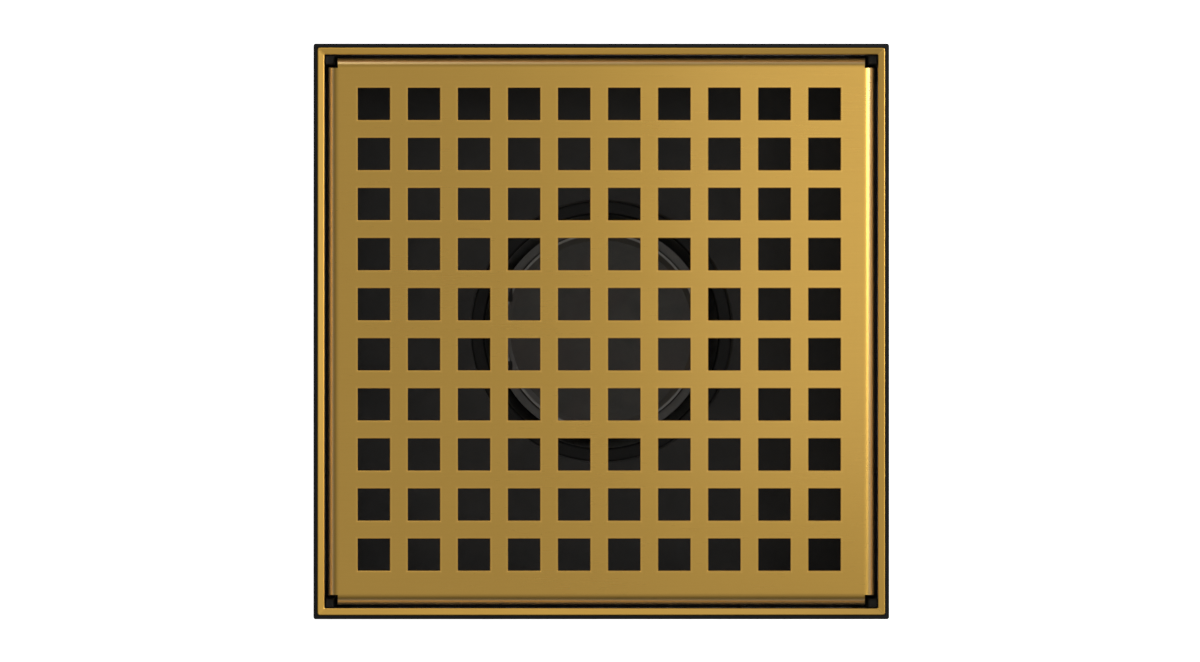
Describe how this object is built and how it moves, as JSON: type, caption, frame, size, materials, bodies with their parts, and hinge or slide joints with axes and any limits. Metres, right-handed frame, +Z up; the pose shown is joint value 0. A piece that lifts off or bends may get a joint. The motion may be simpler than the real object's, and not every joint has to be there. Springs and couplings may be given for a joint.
{
  "type": "floor drain",
  "caption": "Square floor drain with a lift-off perforated gold grate, slim trim frame, black body, lift-out bell trap, deck clamp nut and straight down outlet.",
  "frame": {"origin": "centre of the outlet tail's lower end, which is also the bottom of the whole drain", "axes": "+Z up towards the grate; +X and +Y along the sides of the square, the hole grid being offset towards -X and +Y"},
  "size_m": [0.15, 0.15, 0.124],
  "materials": {
    "gold_steel": "gold coated stainless steel, fine satin",
    "black_abs": "moulded, fine spark texture",
    "dark_grey_plastic": "moulded, satin",
    "grey_pp": "moulded, satin",
    "black_rubber": "matt",
    "fibre": "vulcanised fibre, matt",
    "stainless": "satin",
    "brass": "machined"
  },
  "bodies": {
    "drain": {"trim_frame": "gold_steel", "seat_ring": "black_abs", "corner_pad_back_right": "black_rubber", "corner_pad_back_left": "black_rubber", "corner_pad_front_left": "black_rubber", "corner_pad_front_right": "black_rubber", "frame_gasket": "black_rubber", "frame_screws": "stainless", "screw_inserts": "brass", "basin": "black_abs", "trap_bowl": "black_abs", "deck_gasket": "black_rubber", "friction_washer": "fibre", "lock_nut": "grey_pp", "outlet_gasket": "black_rubber", "outlet_tail": "grey_pp", "union_nut": "grey_pp"},
    "grate": {"grate_plate": "gold_steel", "grate_side_studs": "black_rubber"},
    "cup": {"trap_cup": "black_abs", "cup_seal": "black_rubber"},
    "bell": {"trap_bell": "dark_grey_plastic"},
    "front_bail": {"bail_front": "dark_grey_plastic"},
    "back_bail": {"bail_back": "dark_grey_plastic"}
  },
  "joints": [
    {"name": "grate_lift", "type": "slide", "parent": "drain", "child": "grate", "axis": [0, 0, 1], "range_m": [0, 0.1]},
    {"name": "cup_lift", "type": "slide", "parent": "drain", "child": "cup", "axis": [0, 0, 1], "range_m": [0, 0.026]},
    {"name": "bell_lift", "type": "slide", "parent": "cup", "child": "bell", "axis": [0, 0, 1], "range_m": [0, 0.026]},
    {"name": "front_bail_fold", "type": "hinge", "parent": "bell", "child": "front_bail", "pos_m": [0, -0.01, 0.0931], "axis": [-1, 0, 0], "range_deg": [0, 85]},
    {"name": "back_bail_fold", "type": "hinge", "parent": "bell", "child": "back_bail", "pos_m": [0, 0.01, 0.0931], "axis": [1, 0, 0], "range_deg": [0, 85]}
  ]
}
